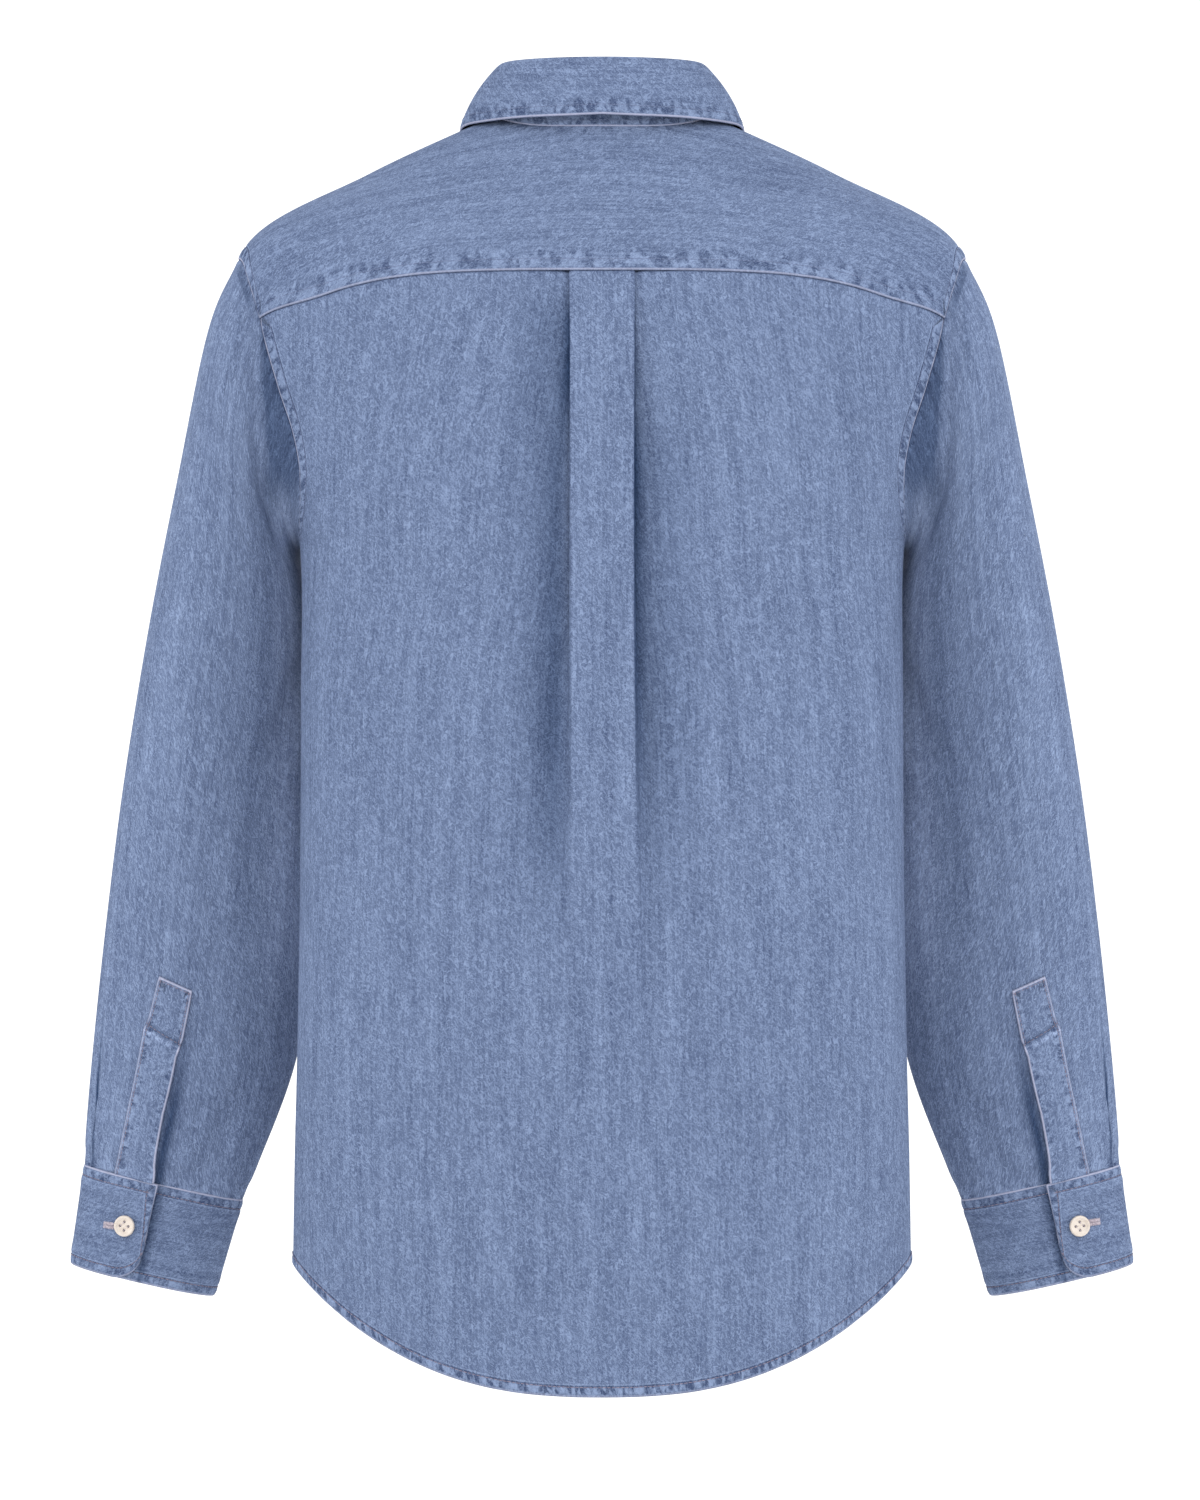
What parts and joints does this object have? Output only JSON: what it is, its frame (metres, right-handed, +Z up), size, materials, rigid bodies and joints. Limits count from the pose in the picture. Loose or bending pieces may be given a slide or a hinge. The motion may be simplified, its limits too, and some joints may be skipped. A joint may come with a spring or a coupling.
{
  "type": "denim shirt",
  "caption": "Long-sleeved button-front denim shirt with a point collar, a back yoke with a centre box pleat, button cuffs and a curved hem, hollow as worn.",
  "frame": {"origin": "midway between the two points where the shoulder lines meet the neckline, where the wearer's shoulders carry the shirt", "axes": "+Z up along the body, the front faces -Y, +X towards the wearer's left arm"},
  "size_m": [0.6422, 0.2467, 0.7728],
  "materials": {
    "denim": "washed mid-blue cotton denim with the weave running down",
    "denim_crosswise": "the same denim cut across the weave",
    "button": "smooth off-white with a raised rim"
  },
  "bodies": {
    "root": {"back": "denim", "yoke": "denim_crosswise", "front_left": "denim", "front_right": "denim", "sleeve_left": "denim", "sleeve_right": "denim", "placket_left": "denim", "placket_right": "denim", "cuff_left": "denim_crosswise", "cuff_right": "denim_crosswise", "collar_stand": "denim_crosswise", "collar_leaf": "denim_crosswise", "button_front_1": "button", "button_front_2": "button", "button_front_3": "button", "button_front_4": "button", "button_front_5": "button", "button_front_6": "button", "button_front_7": "button", "button_stand": "button", "button_cuff_left": "button", "button_cuff_right": "button"}
  },
  "joints": []
}
